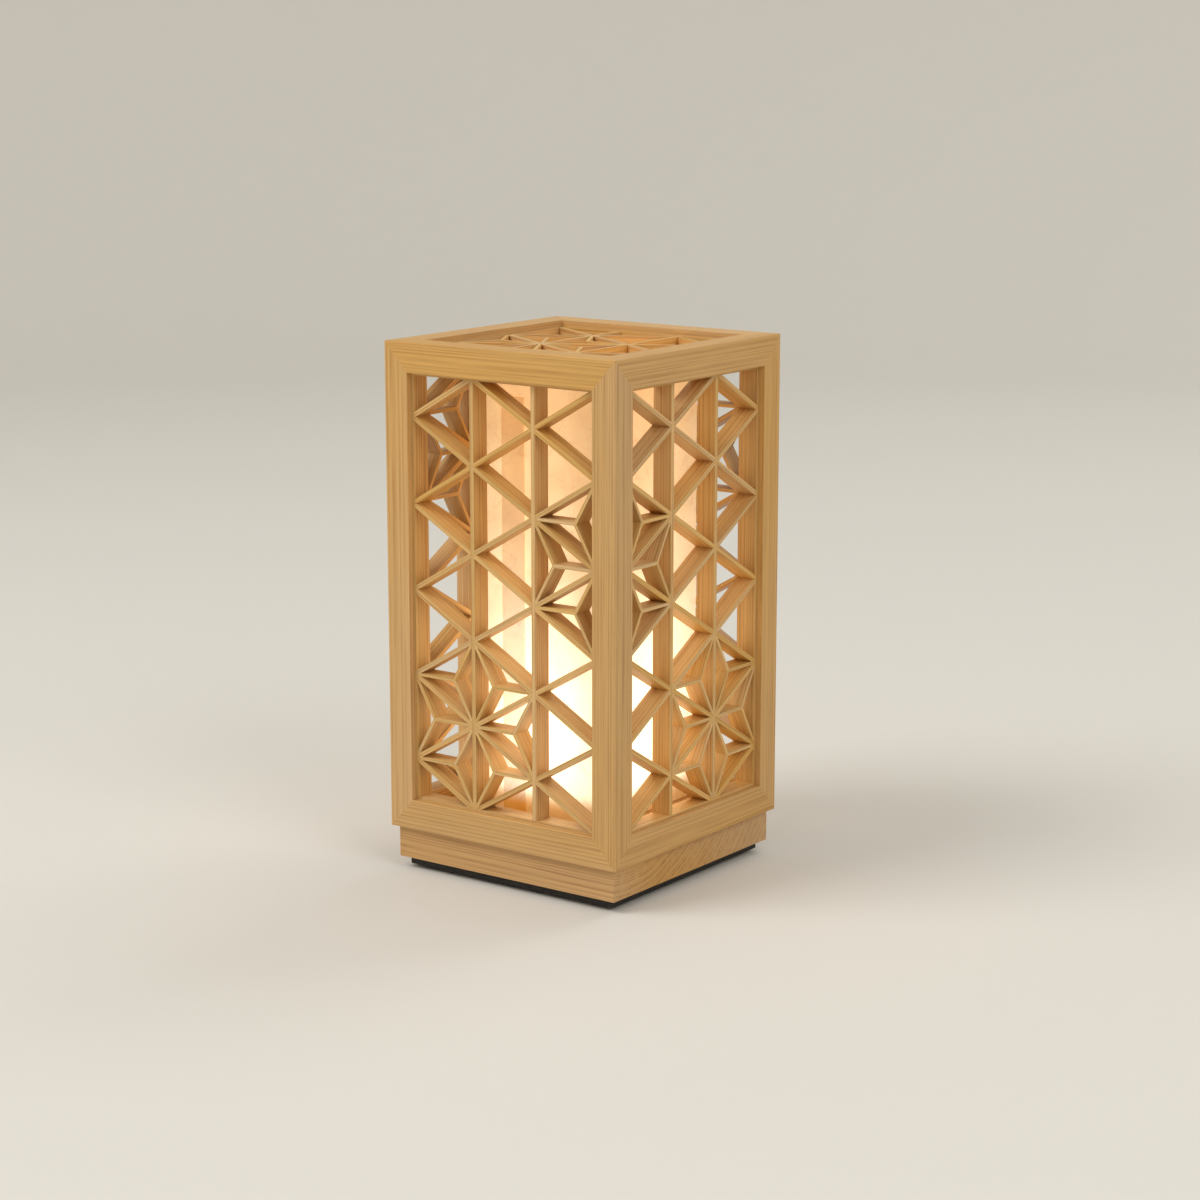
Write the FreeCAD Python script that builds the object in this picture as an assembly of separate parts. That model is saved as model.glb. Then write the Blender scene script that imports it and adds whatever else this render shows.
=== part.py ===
"""Kumiko table lamp: a lattice lantern that lifts off a plinth with a bulb inside a paper tube.

Millimetres. +Z is up, the origin is on the table under the middle of the lamp, and the front faces -Y.
"""
import FreeCAD, Part
import math
import os
from FreeCAD import Placement, Rotation, Vector

# Lantern frame
frame_width = 120.0
post_width = 12.0
rail_height = 13.0

# Kumiko panels, whose triangles have one upright side
column_count = 3
half_rows = 10
top_half_rows = 5
panel_recess = 3.0
strip_thickness = 2.0
leaf_thickness = 1.4

# Middles of the whole and the cut hemp leaf flowers, in half rows above the lattice's foot
flower_half_rows = 2
cut_flower_half_rows = 6
top_flower_half_rows = 2

# Feet, bottom plate, plinth and deck
foot_diameter = 12.0
foot_height = 1.5
foot_inset = 9.0
plate_thickness = 3.5
plate_inset = 3.5
plinth_inset = 2.5
plinth_height = 14.0
plinth_wall = 14.0
plinth_web = 5.0
deck_height = 9.0
deck_clearance = 0.5

# Wood screws of the base
screw_diameter = 3.0
screw_head_diameter = 5.4
screw_head_height = 1.8
screw_grip = 6.0
screw_clearance = 0.1
plate_screw_spacing = 60.0
deck_screw_inset = 7.5

# Paper diffuser
diffuser_gap = 13.25
diffuser_top_gap = 2.75
paper_thickness = 0.5
seam_width = 11.8
seam_offset = 11.4
seam_top_gap = 7.7
seat_height = 10.0
seat_wall = 3.0

# Bulb with a 17 mm screw cap
cap_diameter = 16.8
cap_length = 15.0
pip_diameter = 6.4
pip_height = 1.2
insulator_height = 2.8
insulator_top_diameter = 14.0
neck_length = 22.0
neck_hollow = 1.6
globe_diameter = 35.0
globe_height = 26.0
globe_wall = 1.2
board_inset = 2.0
board_thickness = 1.5

# Lampholder
thread_play = 0.4
shell_thickness = 0.8
shell_clearance = 0.1
holder_wall = 3.8
holder_depth = 19.0
holder_floor = 4.0
holder_collar = 6.0
flange_width = 5.5
flange_thickness = 3.0
tongue_width = 5.0
tongue_thickness = 0.5
holder_hole_clearance = 0.5

# Cord inlet, terminal block and leads
bush_bore = 6.0
bush_wall = 1.0
bush_flange = 0.9
bush_flange_thickness = 1.5
bush_height = 5.0
bush_clearance = 0.1
block_width = 18.0
block_depth = 12.0
block_height = 6.0
block_room = 7.5
lead_diameter = 1.8
lead_spacing = 9.0
lead_clearance = 0.1
lead_entry = 3.0

# Heights and widths that follow
plinth_foot = foot_height + plate_thickness
lantern_foot = plinth_foot + plinth_height
cavity_top = lantern_foot - plinth_web
deck_top = lantern_foot + deck_height
opening = frame_width - 2 * post_width
pitch = opening / column_count
triangle_side = pitch / math.cos(math.radians(30))
panel_height = half_rows * triangle_side / 2
frame_height = panel_height + 2 * rail_height
strip_depth = post_width - panel_recess
border_thickness = strip_thickness / 2
plinth_width = frame_width - 2 * plinth_inset
cavity_width = plinth_width - 2 * plinth_wall
plate_width = plinth_width - 2 * plate_inset
deck_width = opening - 2 * deck_clearance
diffuser_width = opening - 2 * diffuser_gap
diffuser_top = lantern_foot + frame_height - post_width - diffuser_top_gap
holder_bore_radius = cap_diameter / 2 + thread_play + shell_thickness + shell_clearance
holder_radius = holder_bore_radius + holder_wall
holder_hole_radius = holder_radius + holder_hole_clearance
holder_foot = deck_top - holder_depth
holder_floor_top = holder_foot + holder_floor
bulb_foot = holder_floor_top + 2 * tongue_thickness
lead_height = holder_foot + holder_floor / 2
block_back = cavity_width / 2 - block_room
block_front = block_back - block_depth

# Strip directions, in degrees from the panel's horizontal, in their order from the panel's face inwards
LAYERS = {"uprights": 90, "rising": 30, "falling": -30}
ALL_ROUND = range(6)
SIDES = {"front": 0, "right": 90, "back": 180, "left": 270}


def box(width, depth, height, bottom, x=0.0, y=0.0):
    """Upright box centred on x, y and standing on a height."""
    return Part.makeBox(width, depth, height, Vector(x - width / 2, y - depth / 2, bottom))


def prism(points, bottom, top):
    """Straight prism on a flat outline, between two heights."""
    corners = [Vector(x, y, bottom) for x, y in points]
    face = Part.Face(Part.makePolygon(corners + corners[:1]))
    return face.extrude(Vector(0, 0, top - bottom))


def turned(edges):
    """Solid of revolution about Z from edges in the XZ plane that close an outline."""
    return Part.Face(Part.Wire(edges)).revolve(Vector(), Vector(0, 0, 1), 360)


def lathe(points):
    """Solid of revolution about Z from a straight-sided outline of radius and height."""
    corners = [Vector(radius, 0, height) for radius, height in points]
    return turned(Part.makePolygon(corners + corners[:1]).Edges)


def square_points(spacing_x, spacing_y):
    """Four points on the corners of a rectangle about the origin."""
    return [(x * spacing_x / 2, y * spacing_y / 2) for x in (-1, 1) for y in (-1, 1)]


# Lantern frame

def mitred_bar(length, width, height, inset):
    """Bar along X whose outer edge, on the X axis, runs full length; its other edges stop at the mitres."""
    near = [Vector(0, 0, 0), Vector(inset, width, 0), Vector(inset, width, height), Vector(inset, 0, height)]
    far = [Vector(length - p.x, p.y, p.z) for p in near]
    outlines = [(end[0], end[1], end[2]) for end in (near, far)]
    outlines += [(end[0], end[2], end[3]) for end in (near, far)]
    outlines += [(near[i - 1], near[i], far[i], far[i - 1]) for i in range(4)]
    faces = [Part.Face(Part.makePolygon(list(outline) + [outline[0]])) for outline in outlines]
    solid = Part.Solid(Part.Shell(faces))
    if solid.Volume < 0:
        solid.reverse()
    return solid


def frame_members():
    """Four posts and eight rails that meet in three-way mitres at the corners."""
    corner = Vector(-frame_width / 2, -frame_width / 2, lantern_foot)
    middle = Vector(0, 0, lantern_foot + frame_height / 2)
    rail = mitred_bar(frame_width, post_width, rail_height, post_width).translate(corner)
    post = mitred_bar(frame_height, post_width, post_width, rail_height)
    post.Placement = Placement(corner, Rotation(Vector(1, 1, 1), -120))
    left_hand = {"front": "front_left", "right": "front_right", "back": "back_right", "left": "back_left"}
    members = {}
    for side, turn in SIDES.items():
        members["post_" + left_hand[side]] = post.rotated(Vector(), Vector(0, 0, 1), turn)
        bottom_rail = rail.rotated(Vector(), Vector(0, 0, 1), turn)
        members["bottom_rail_" + side] = bottom_rail
        top_rail = rail.rotated(middle, Vector(0, 1, 0), 180).rotated(Vector(), Vector(0, 0, 1), turn)
        members["top_rail_" + side] = top_rail
    return members


# Kumiko panels, drawn about their middle in the XY plane with the face at z = 0 and the depth below it

def notch(along, layer, lean):
    """Cut in one strip where a strip that leans from it passes whole through its own layer.

    The strip ends on both sides in a point: one flat lies on the passing strip and the other on the
    third strip of the node.
    """
    side = math.copysign(1, lean)
    half = strip_thickness / 2
    sine, cosine = math.sin(math.radians(60)), math.cos(math.radians(60))
    reach = strip_thickness
    on_passing_strip = ((half + reach * cosine) / sine, reach)
    point = (half * sine, -half * cosine)
    on_third_strip = (reach * sine / cosine, -reach)
    right = [on_passing_strip, point, on_third_strip]
    outline = right + [(-x, -y) for x, y in right]
    top = -layer * strip_depth / len(LAYERS)
    bottom = -(layer + 1) * strip_depth / len(LAYERS)
    return prism([(along + x, side * y) for x, y in outline], bottom, top)


def strip(start, length, direction, crossings):
    """Strip from a start point, notched at each crossing, a place along it and a crossing direction."""
    angle = LAYERS[direction]
    layers = list(LAYERS)
    half = strip_thickness / 2
    spare = triangle_side
    body = prism([(-spare, -half), (length + spare, -half), (length + spare, half), (-spare, half)],
                 -strip_depth, 0)
    cuts = []
    for along, other in crossings:
        lean = (LAYERS[other] - angle + 90) % 180 - 90
        cuts.append(notch(along, layers.index(other), lean))
    body = body.cut(cuts)
    body.Placement = Placement(Vector(start[0], start[1], 0), Rotation(Vector(0, 0, 1), angle))
    return body


def border(height):
    """Four thin strips, mitred at the corners, that line the opening."""
    x, y, t = opening / 2, height / 2, border_thickness
    outer = [(-x, -y), (x, -y), (x, y), (-x, y)]
    inner = [(-x + t, -y + t), (x - t, -y + t), (x - t, y - t), (-x + t, y - t)]
    return [prism([outer[i - 1], outer[i], inner[i], inner[i - 1]], -strip_depth, 0) for i in range(4)]


def lattice(height, steps, parity):
    """Upright, rising and falling strips; nodes stand every other half step up each column.

    parity tells whether the first column's nodes are on the even (0) or the odd (1) half steps.
    """
    foot = -steps * triangle_side / 4
    left = -opening / 2
    rising = [k for k in range(1 - column_count, steps) if k % 2 == parity]
    falling = [k for k in range(1, steps + column_count) if k % 2 == parity]
    inside_width = opening - 2 * border_thickness
    inside_height = height - 2 * border_thickness
    inside = box(inside_width, inside_height, strip_depth, -strip_depth)
    strips = {name: [] for name in LAYERS}

    def add(direction, start, length, crossings):
        whole = strip(start, length, direction, crossings)
        strips[direction].append(whole.common(inside).removeSplitter())

    for column in range(1, column_count):
        crossings = []
        for k in range(steps + 1):
            place = k * triangle_side / 2
            if k - column in rising:
                crossings.append((place, "rising"))
            if k + column in falling:
                crossings.append((place, "falling"))
        add("uprights", (left + column * pitch, foot), steps * triangle_side / 2, crossings)

    for direction, other, first_nodes, others, step in (
            ("rising", "falling", rising, falling, 1), ("falling", "rising", falling, rising, -1)):
        for first in first_nodes:
            crossings = []
            for column in range(column_count + 1):
                k = first + step * column
                if not 0 <= k <= steps:
                    continue
                crossings.append((column * triangle_side, "uprights"))
                if k + step * column in others:
                    crossings.append((column * triangle_side, other))
            start = (left, foot + first * triangle_side / 2)
            add(direction, start, column_count * triangle_side, crossings)
    return strips


def leaf(centroid, angle):
    """One leaf strip from a triangle's centroid to a corner between two lattice strips."""
    half = leaf_thickness / 2
    tip = triangle_side / math.sqrt(3) - strip_thickness
    shoulder = half * math.tan(math.radians(30))
    taper = half * math.tan(math.radians(60))
    outline = [(0, 0), (shoulder, -half), (tip - taper, -half), (tip, 0), (tip - taper, half),
               (shoulder, half)]
    body = prism(outline, -strip_depth, 0)
    body.Placement = Placement(Vector(*centroid, 0), Rotation(Vector(0, 0, 1), angle))
    return body


def flower(column, k, steps, sectors):
    """Hemp leaf flower: three leaves in each chosen triangle around one node."""
    x = -opening / 2 + column * pitch
    y = (k - steps / 2) * triangle_side / 2
    out = triangle_side / math.sqrt(3)
    leaves = []
    for sector in sectors:
        angle = 60 * sector
        centroid = (x + out * math.cos(math.radians(angle)), y + out * math.sin(math.radians(angle)))
        leaves += [leaf(centroid, angle + turn) for turn in (60, 180, 300)]
    return leaves


def panel(height, steps, parity, flowers):
    """All strips of one panel by kind."""
    kinds = {"border": border(height)}
    kinds.update(lattice(height, steps, parity))
    kinds["leaves"] = [leaf for place in flowers for leaf in flower(*place[:2], steps, place[2])]
    return kinds


def placed(kinds, placement):
    """A panel's strips, moved to their place in the lantern."""
    moved = {}
    for kind, solids in kinds.items():
        moved[kind] = [solid.transformed(placement.toMatrix(), True) for solid in solids]
    return moved


def panels():
    """Four side panels, the far two being the near two turned upside down, and the top panel."""
    whole, left_half, right_half = ALL_ROUND, (2, 3, 4), (5, 0, 1)
    near_flowers = [(1, flower_half_rows, whole), (column_count, cut_flower_half_rows, left_half)]
    mirrored_flowers = [(column_count - 1, flower_half_rows, whole),
                        (0, cut_flower_half_rows, right_half)]
    near = panel(panel_height, half_rows, 1, near_flowers)
    mirrored = panel(panel_height, half_rows, 0, mirrored_flowers)
    face = Placement(Vector(0, panel_recess - frame_width / 2, lantern_foot + frame_height / 2),
                     Rotation(Vector(1, 0, 0), 90))
    half_turn = Placement(Vector(), Rotation(Vector(0, 0, 1), 180))
    upright = Placement()
    nodes = {}
    for side, kinds, flip in (("front", near, upright), ("right", mirrored, upright),
                              ("back", mirrored, half_turn), ("left", near, half_turn)):
        turn = Placement(Vector(), Rotation(Vector(0, 0, 1), SIDES[side]))
        nodes[side] = placed(kinds, turn * face * flip)
    top = panel(opening, top_half_rows, 1, [(1, top_flower_half_rows, whole)])
    top_face = lantern_foot + frame_height - panel_recess
    nodes["top"] = placed(top, Placement(Vector(0, 0, top_face), Rotation()))
    return {f"{side}_panel_{kind}": solids
            for side, kinds in nodes.items() for kind, solids in kinds.items()}


# Base

def screw(x, y, seat, reach, up=True):
    """Pan head screw whose head bears on a seat height, driven up or down."""
    way = 1 if up else -1
    place = Vector(x, y, seat)
    shank = Part.makeCylinder(screw_diameter / 2, reach, place, Vector(0, 0, way))
    head = Part.makeCylinder(screw_head_diameter / 2, screw_head_height, place, Vector(0, 0, -way))
    return shank.fuse(head).removeSplitter()


def screw_hole(x, y, bottom, top):
    """Hole for one screw's shank."""
    return Part.makeCylinder(screw_diameter / 2 + screw_clearance, top - bottom, Vector(x, y, bottom))


def plate_screw_places():
    """Screws in the middle of the plinth's front and back walls."""
    return square_points(plate_screw_spacing, cavity_width + plinth_wall)


def deck_screw_places():
    """Screws near the corners of the wiring recess."""
    return square_points(cavity_width - 2 * deck_screw_inset, cavity_width - 2 * deck_screw_inset)


def holder_screw_places():
    """Two screws across the lampholder's flange."""
    return [(side * (holder_radius + flange_width / 2), 0) for side in (-1, 1)]


def feet():
    """Four pads under the bottom plate."""
    spacing = plate_width - 2 * foot_inset
    return [Part.makeCylinder(foot_diameter / 2, foot_height, Vector(x, y, 0))
            for x, y in square_points(spacing, spacing)]


def bottom_plate():
    """Recessed plate that closes the wiring recess; its screw heads are let in flush."""
    plate = box(plate_width, plate_width, plate_thickness, foot_height)
    cuts = []
    for x, y in plate_screw_places():
        cuts.append(screw_hole(x, y, foot_height, plinth_foot))
        well = screw_head_diameter / 2 + screw_clearance
        cuts.append(Part.makeCylinder(well, screw_head_height, Vector(x, y, foot_height)))
    return plate.cut(cuts)


def plinth():
    """Solid board with a wiring recess below and holes for the holder, the screws and the cord bush."""
    board = box(plinth_width, plinth_width, plinth_height, plinth_foot)
    cuts = [box(cavity_width, cavity_width, plinth_height - plinth_web, plinth_foot)]
    cuts.append(Part.makeCylinder(holder_hole_radius, plinth_web, Vector(0, 0, cavity_top)))
    cuts += [screw_hole(x, y, cavity_top, lantern_foot) for x, y in deck_screw_places()]
    cuts += [screw_hole(x, y, plinth_foot, plinth_foot + screw_grip) for x, y in plate_screw_places()]
    bush_seat = bush_bore / 2 + bush_wall + bush_clearance
    wall = Vector(0, cavity_width / 2, plinth_foot + bush_height)
    cuts.append(Part.makeCylinder(bush_seat, plinth_wall, wall, Vector(0, 1, 0)))
    return board.cut(cuts)


def deck():
    """Board on the plinth that locates the lantern and carries the holder and the paper tube."""
    board = box(deck_width, deck_width, deck_height, lantern_foot)
    cuts = [Part.makeCylinder(holder_hole_radius, deck_height, Vector(0, 0, lantern_foot))]
    cuts += [screw_hole(x, y, lantern_foot, lantern_foot + screw_grip) for x, y in deck_screw_places()]
    cuts += [screw_hole(x, y, deck_top - screw_grip, deck_top) for x, y in holder_screw_places()]
    return board.cut(cuts)


def cord_bush():
    """Flanged sleeve in the plinth's back wall, open for a cord."""
    inner, outer = bush_bore / 2, bush_bore / 2 + bush_wall
    flange = outer + bush_flange
    length = plinth_wall
    sleeve = lathe([(inner, 0), (outer, 0), (outer, length), (flange, length),
                    (flange, length + bush_flange_thickness), (inner, length + bush_flange_thickness)])
    sleeve.Placement = Placement(Vector(0, cavity_width / 2, plinth_foot + bush_height),
                                 Rotation(Vector(1, 0, 0), -90))
    return sleeve


def lead_run(radius, start, end):
    """Two straight runs side by side along Y, for the leads or for their holes."""
    return [Part.makeCylinder(radius, end - start, Vector(side * lead_spacing / 2, start, lead_height),
                              Vector(0, 1, 0)) for side in (-1, 1)]


def lead_start():
    """How near to the holder's axis the leads end, a short way inside its wall."""
    return math.sqrt(holder_radius ** 2 - (lead_spacing / 2) ** 2) - lead_entry


def terminal_block():
    """Two-way block under the web, between the bush and the holder."""
    middle = block_front + block_depth / 2
    block = box(block_width, block_depth, block_height, cavity_top - block_height, y=middle)
    return block.cut(lead_run(lead_diameter / 2 + lead_clearance, block_front, block_back))


# Lampholder

def holder_body():
    """Moulded holder that hangs through the deck from its flange."""
    flange = holder_radius + flange_width
    flange_top = deck_top + flange_thickness
    collar_top = deck_top + holder_collar
    body = lathe([(0, holder_foot), (holder_radius, holder_foot), (holder_radius, deck_top),
                  (flange, deck_top), (flange, flange_top), (holder_radius, flange_top),
                  (holder_radius, collar_top), (holder_bore_radius, collar_top),
                  (holder_bore_radius, holder_floor_top), (0, holder_floor_top)])
    cuts = lead_run(lead_diameter / 2 + lead_clearance, lead_start(), holder_radius)
    cuts += [screw_hole(x, y, deck_top, flange_top) for x, y in holder_screw_places()]
    return body.cut(cuts)


def holder_shell():
    """Metal sleeve that takes the bulb's thread."""
    outer = holder_bore_radius - shell_clearance
    inner = outer - shell_thickness
    bottom, top = holder_floor_top, deck_top + holder_collar
    return lathe([(inner, bottom), (outer, bottom), (outer, top), (inner, top)])


def holder_contact():
    """Spring tongue, cranked up from the holder's floor to the bulb's centre contact."""
    reach = pip_diameter / 2
    low, mid, high = holder_floor_top, holder_floor_top + tongue_thickness, bulb_foot
    points = [(-2 * reach, low), (-reach, low), (-reach, mid), (reach, mid), (reach, high),
              (-2 * reach, high)]
    corners = [Vector(x, -tongue_width / 2, z) for x, z in points]
    return Part.Face(Part.makePolygon(corners + corners[:1])).extrude(Vector(0, tongue_width, 0))


# Paper diffuser

def diffuser_tube():
    """Square tube folded from one sheet, open at the top."""
    height = diffuser_top - deck_top
    inner = diffuser_width - 2 * paper_thickness
    return box(diffuser_width, diffuser_width, height, deck_top).cut(box(inner, inner, height, deck_top))


def diffuser_seam():
    """Strip of the same paper glued over the sheet's join, on the front of the tube."""
    height = diffuser_top - seam_top_gap - deck_top
    middle = -(diffuser_width + paper_thickness) / 2
    return box(seam_width, paper_thickness, height, deck_top, -seam_offset, middle)


def diffuser_seat():
    """Low square ring that the tube stands around."""
    outer = diffuser_width - 2 * paper_thickness
    inner = outer - 2 * seat_wall
    return box(outer, outer, seat_height, deck_top).cut(box(inner, inner, seat_height, deck_top))


# Bulb

def bulb_parts():
    """Bulb from its centre contact up to the globe."""
    pip, cap = pip_diameter / 2, cap_diameter / 2
    insulator_foot = bulb_foot + pip_height
    cap_foot = insulator_foot + insulator_height
    neck_foot = cap_foot + cap_length
    neck_top = neck_foot + neck_length
    radius = globe_diameter / 2
    centre = neck_top + globe_height - radius
    shoulder = math.sqrt(radius ** 2 - (centre - neck_top) ** 2)
    inner_radius = radius - globe_wall
    inner_shoulder = math.sqrt(inner_radius ** 2 - (centre - neck_top) ** 2)
    board = inner_shoulder - board_inset

    def arc(*points):
        return Part.Arc(*[Vector(r, 0, z) for r, z in points]).toShape()

    def line(*points):
        return Part.makeLine(*[Vector(r, 0, z) for r, z in points])

    slope = math.hypot(shoulder - cap, neck_length)
    waist = ((cap + shoulder) / 2 - neck_hollow * neck_length / slope,
             (neck_foot + neck_top) / 2 + neck_hollow * (shoulder - cap) / slope)
    neck = turned([line((0, neck_foot), (cap, neck_foot)),
                   arc((cap, neck_foot), waist, (shoulder, neck_top)),
                   line((shoulder, neck_top), (0, neck_top)),
                   line((0, neck_top), (0, neck_foot))])
    rise = math.radians(20)
    outer_mid = (radius * math.cos(rise), centre + radius * math.sin(rise))
    inner_mid = (inner_radius * math.cos(rise), centre + inner_radius * math.sin(rise))
    globe = turned([line((inner_shoulder, neck_top), (shoulder, neck_top)),
                    arc((shoulder, neck_top), outer_mid, (0, centre + radius)),
                    line((0, centre + radius), (0, centre + inner_radius)),
                    arc((0, centre + inner_radius), inner_mid, (inner_shoulder, neck_top))])
    return {
        "bulb_contact": lathe([(0, bulb_foot), (pip, bulb_foot),
                               (pip, insulator_foot), (0, insulator_foot)]),
        "bulb_insulator": lathe([(0, insulator_foot), (pip, insulator_foot),
                                 (insulator_top_diameter / 2, cap_foot), (0, cap_foot)]),
        "bulb_cap": lathe([(0, cap_foot), (cap, cap_foot), (cap, neck_foot), (0, neck_foot)]),
        "bulb_neck": neck,
        "bulb_board": lathe([(0, neck_top), (board, neck_top), (board, neck_top + board_thickness),
                             (0, neck_top + board_thickness)]),
        "bulb_globe": globe,
    }


def base_parts():
    """Everything that stays on the table when the lantern is lifted, apart from the bulb."""
    plate_seat = foot_height + screw_head_height
    plate_reach = plinth_foot + screw_grip - plate_seat
    flange_top = deck_top + flange_thickness
    return {
        "feet": feet(),
        "bottom_plate": bottom_plate(),
        "plate_screws": [screw(x, y, plate_seat, plate_reach) for x, y in plate_screw_places()],
        "plinth": plinth(),
        "deck": deck(),
        "deck_screws": [screw(x, y, cavity_top, plinth_web + screw_grip) for x, y in deck_screw_places()],
        "cord_bush": cord_bush(),
        "terminal_block": terminal_block(),
        "leads": lead_run(lead_diameter / 2, lead_start(), block_back - lead_entry),
        "holder_body": holder_body(),
        "holder_shell": holder_shell(),
        "holder_contact": holder_contact(),
        "holder_screws": [screw(x, y, flange_top, flange_thickness + screw_grip, up=False)
                          for x, y in holder_screw_places()],
        "diffuser_tube": diffuser_tube(),
        "diffuser_seam": diffuser_seam(),
        "diffuser_seat": diffuser_seat(),
    }


def main():
    nodes = frame_members()
    nodes.update(panels())
    nodes.update(base_parts())
    nodes.update(bulb_parts())
    os.makedirs("parts", exist_ok=True)
    for name, shape in nodes.items():
        if isinstance(shape, list):
            shape = Part.makeCompound(shape)
        shape.exportStep(f"parts/{name}.step")


main()
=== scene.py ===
import math
import random

import bmesh
import bpy
from mathutils import Euler, Matrix, Vector


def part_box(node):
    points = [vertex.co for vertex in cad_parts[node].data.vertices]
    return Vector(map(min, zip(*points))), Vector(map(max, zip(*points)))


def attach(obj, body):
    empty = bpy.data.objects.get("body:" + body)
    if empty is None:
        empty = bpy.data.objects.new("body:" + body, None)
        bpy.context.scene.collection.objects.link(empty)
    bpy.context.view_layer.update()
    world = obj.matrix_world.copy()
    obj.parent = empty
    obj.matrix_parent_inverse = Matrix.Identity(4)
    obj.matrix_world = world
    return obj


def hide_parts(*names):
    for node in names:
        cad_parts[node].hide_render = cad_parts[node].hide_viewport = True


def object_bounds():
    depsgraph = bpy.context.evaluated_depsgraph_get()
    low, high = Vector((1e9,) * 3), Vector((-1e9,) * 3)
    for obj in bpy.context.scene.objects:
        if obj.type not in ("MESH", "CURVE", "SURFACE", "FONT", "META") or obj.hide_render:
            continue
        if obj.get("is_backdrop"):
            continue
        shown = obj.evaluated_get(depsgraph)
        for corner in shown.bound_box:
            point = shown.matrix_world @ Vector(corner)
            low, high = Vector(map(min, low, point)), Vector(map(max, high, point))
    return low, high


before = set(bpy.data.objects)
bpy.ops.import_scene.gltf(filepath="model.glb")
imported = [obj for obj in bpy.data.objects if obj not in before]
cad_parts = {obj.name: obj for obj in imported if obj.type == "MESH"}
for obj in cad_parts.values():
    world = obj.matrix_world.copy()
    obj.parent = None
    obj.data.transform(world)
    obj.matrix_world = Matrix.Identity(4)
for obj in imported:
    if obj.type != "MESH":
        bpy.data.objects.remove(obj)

# Kumiko table lamp, dressed in the CAD frame. Metres, +Z is up and the front panel faces -Y.
mm = 0.001
cad_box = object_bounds()
draw = random.Random(17)

# Camera, fitted to the lattice's nodes in the photograph
camera_place = (0.72317, -0.97309, 0.36689)
camera_down_deg = 11.694
camera_turn_deg = 36.307
lens_mm = 86.1
sensor_mm = 36.0

# Studio: a round floor that sweeps up into a wall, and square soft lamps, each with its place and watts
floor_radius = 1.7
sweep_radius = 0.9
wall_top = 2.2
sweep_steps = 12
floor_sides = 96
softbox_size = 1.2
softbox_aim = Vector((0, 0, 0.11))
surroundings = 0.6
SOFTBOXES = {"key": ((-0.9, -1.4, 1.9), 30), "fill": ((1.7, -0.6, 1.5), 13), "back": ((0.3, 1.6, 1.8), 12)}

# Woodwork
edge_ease = 0.45 * mm
column_count = 3
strip_thickness = 2.0 * mm
strip_lean_deg = 30
border_thickness = 1.0 * mm
leaf_thickness = 1.4 * mm
leaf_heel_deg = 120
leaf_tip_deg = 60
sector_deg = 60
TRIANGLE_CORNERS_DEG = (60, 180, 300)

# Boards in the tree: how far from its heart, how far along it, and how far off a board's diagonal
heart_nearest = 80 * mm
heart_farthest = 160 * mm
trunk_half = 1000 * mm
DIAGONALS_DEG = (45, 135, 225, 315)
rift_deg = 18

# Boards unlike in tone, and the seeds of the leaves' places and tones
tone_spread = 0.07
heart_seed = 5
tone_seed = 9

# Marks in the wood, each with its length along the fibres and its width across them
RING_WANDER = (170 * mm, 22 * mm)
BROKEN_LINE = (40 * mm, 3.3 * mm)
FIBRE_MARK = (30 * mm, 0.6 * mm)
WARM_CLOUD = (480 * mm, 64 * mm)

# Growth, counted in rings: how far rings wander, how much years differ and how many years are alike
wander_rings = 1.2
year_rings = 1.8
years_alike = 2.2

# Late wood: where in a year's ring it starts and where it is darkest
late_start = 0.30
late_full = 0.95

# Paper tube
paper_thickness = 0.5 * mm
fold_radius = 1.2 * mm
fold_steps = 3
side_parts = 8
paper_rows = 24
paper_bow = 0.25 * mm
bow_upward_rad = 7
bow_across_rad = 2

# Light through the paper: its part at the folds and the foot, and how near to the bulb it is amber or white
fold_light = 0.65
foot_light = 0.6
shade_reach = 3.5 * mm
amber_nearness = 0.12
white_nearness = 0.6

# Marks in the paper: swirls and clouds, and the band of a swirl that is a fibre, with its shade
paper_swirl = 10.5 * mm
paper_cloud = 6.25 * mm
fibre_band = 0.022
fibre_shade = 0.10

# Feet and screws
foot_radius = 6.0 * mm
foot_rim = 0.5 * mm
foot_sides = 40
shank_radius = 1.5 * mm
head_radius = 2.7 * mm
face_radius = 0.7 * head_radius
head_height = 1.8 * mm
recess_length = 1.3 * head_radius
recess_width = 0.7 * mm
recess_depth = 0.9 * mm
head_sides = 32
shank_sides = 24

# Bulb
thread_pitch = 2.822 * mm
thread_height = 0.7 * mm
thread_rows = 60
globe_wall = 1.2 * mm
globe_steps = 28
neck_hollow = 1.5 * mm
neck_steps = 16
round_sides = 64

# Limits within which mesh corners count as one, as flat, as parallel, as on a plane, or as sharp
weld = 0.001 * mm
flat_deg = 0.5
parallel = 0.999
on_plane = 0.01 * mm
crease_deg = 45

# A panel's own right-hand, upward and outward directions
X, Y, Z = Vector((1, 0, 0)), Vector((0, 1, 0)), Vector((0, 0, 1))
PANELS = {
    "front": (X, Z, -Y),
    "right": (Y, Z, X),
    "back": (-X, Z, Y),
    "left": (-Y, Z, -X),
    "top": (X, Y, Z),
}
CORNERS = ("front_left", "front_right", "back_right", "back_left")
SIDES = ("front", "right", "back", "left")

# Hemp leaf flowers of each panel: column, half row above the middle, first triangle, number of triangles
FLOWERS = {
    "front": [(1, -3, 0, 6), (3, 1, 2, 3)],
    "right": [(2, -3, 0, 6), (0, 1, 5, 3)],
    "back": [(1, 3, 0, 6), (3, -1, 2, 3)],
    "left": [(2, 3, 0, 6), (0, -1, 5, 3)],
    "top": [(1, -0.5, 0, 6)],
}

# Sockets of a mix of two colours, and the span that the values of a noise mostly fill
COLOUR_A, COLOUR_B, MIXED = 6, 7, 2
NOISE_SPAN = {"From Min": 0.3, "From Max": 0.7}


# Node helpers

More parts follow.
